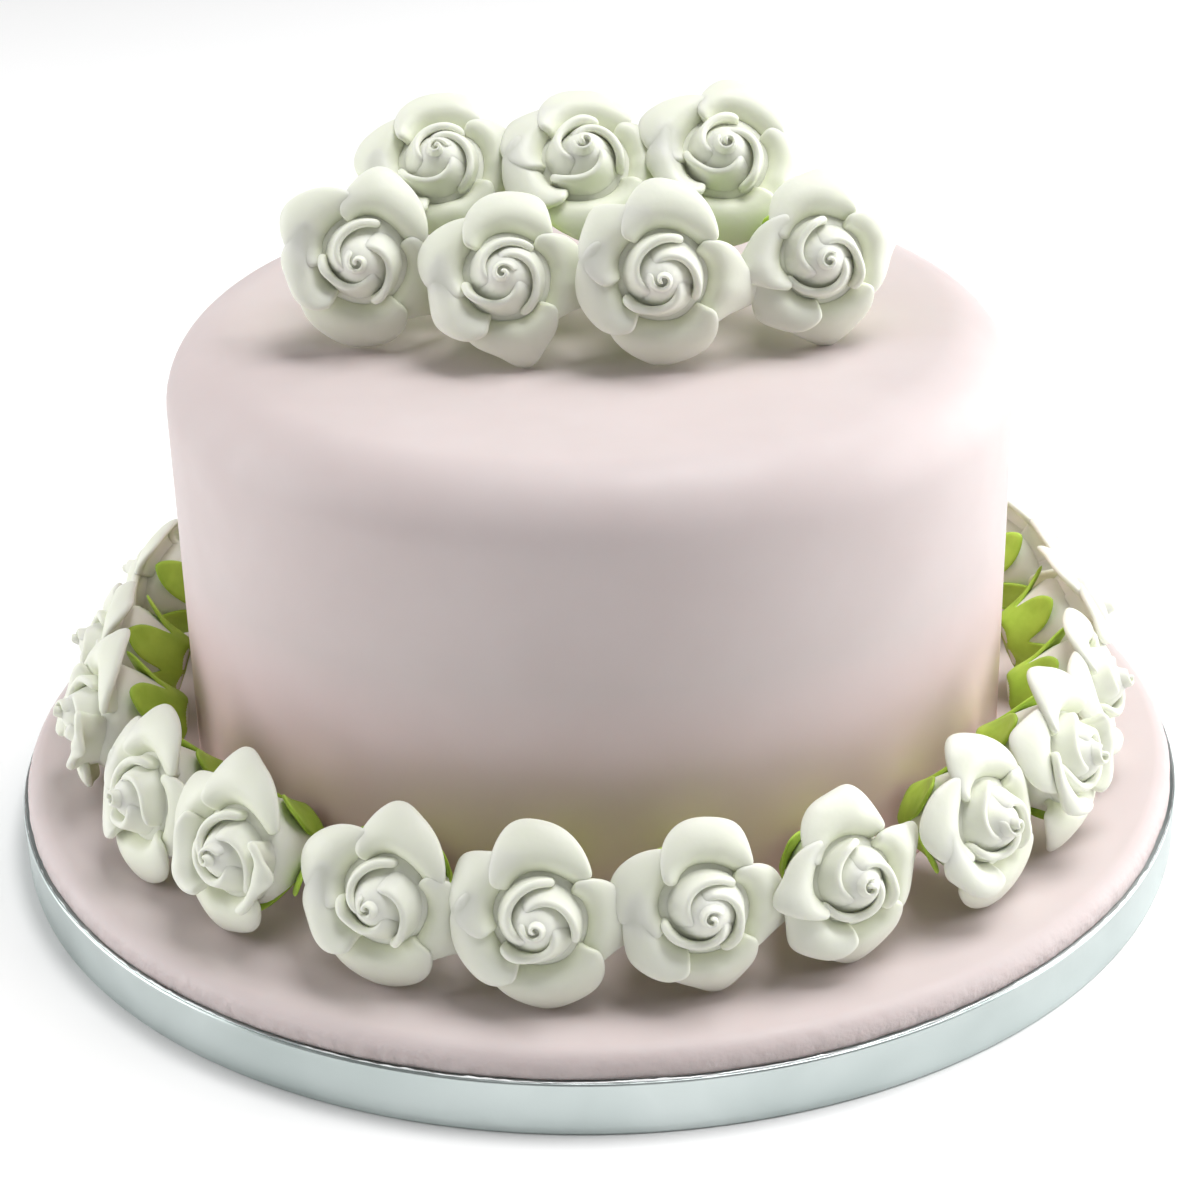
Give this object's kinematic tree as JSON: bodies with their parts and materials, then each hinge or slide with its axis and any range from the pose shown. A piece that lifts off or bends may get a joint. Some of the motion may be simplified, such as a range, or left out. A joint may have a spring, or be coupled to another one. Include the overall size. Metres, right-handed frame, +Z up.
{
  "type": "single-tier wedding cake",
  "caption": "Round covered cake with a soft rounded edge on its covered foil board, with sugar roses with green calyxes round the foot and in a cluster on top",
  "frame": {"origin": "centre of the underside of the cake board", "axes": "+Z is up, and -Y is the front that the picture shows"},
  "size_m": [0.2794, 0.2794, 0.1747],
  "materials": {
    "board_foil": "embossed foil",
    "icing_pink": "satin",
    "rose_white": "satin",
    "calyx_green": "satin"
  },
  "bodies": {
    "root": {"board_foil": "board_foil", "board_icing": "icing_pink", "cake": "icing_pink", "calyx_ring_01": "calyx_green", "calyx_ring_02": "calyx_green", "calyx_ring_03": "calyx_green", "calyx_ring_04": "calyx_green", "calyx_ring_05": "calyx_green", "calyx_ring_06": "calyx_green", "calyx_ring_07": "calyx_green", "calyx_ring_08": "calyx_green", "calyx_ring_09": "calyx_green", "calyx_ring_10": "calyx_green", "calyx_ring_11": "calyx_green", "calyx_ring_12": "calyx_green", "calyx_ring_13": "calyx_green", "calyx_ring_14": "calyx_green", "calyx_ring_15": "calyx_green", "calyx_ring_16": "calyx_green", "calyx_ring_17": "calyx_green", "calyx_ring_18": "calyx_green", "calyx_ring_19": "calyx_green", "calyx_ring_20": "calyx_green", "calyx_ring_21": "calyx_green", "calyx_top_1": "calyx_green", "calyx_top_2": "calyx_green", "calyx_top_3": "calyx_green", "calyx_top_4": "calyx_green", "calyx_top_5": "calyx_green", "calyx_top_6": "calyx_green", "calyx_top_7": "calyx_green", "rose_ring_01": "rose_white", "rose_ring_02": "rose_white", "rose_ring_03": "rose_white", "rose_ring_04": "rose_white", "rose_ring_05": "rose_white", "rose_ring_06": "rose_white", "rose_ring_07": "rose_white", "rose_ring_08": "rose_white", "rose_ring_09": "rose_white", "rose_ring_10": "rose_white", "rose_ring_11": "rose_white", "rose_ring_12": "rose_white", "rose_ring_13": "rose_white", "rose_ring_14": "rose_white", "rose_ring_15": "rose_white", "rose_ring_16": "rose_white", "rose_ring_17": "rose_white", "rose_ring_18": "rose_white", "rose_ring_19": "rose_white", "rose_ring_20": "rose_white", "rose_ring_21": "rose_white", "rose_top_1": "rose_white", "rose_top_2": "rose_white", "rose_top_3": "rose_white", "rose_top_4": "rose_white", "rose_top_5": "rose_white", "rose_top_6": "rose_white", "rose_top_7": "rose_white"}
  },
  "joints": []
}
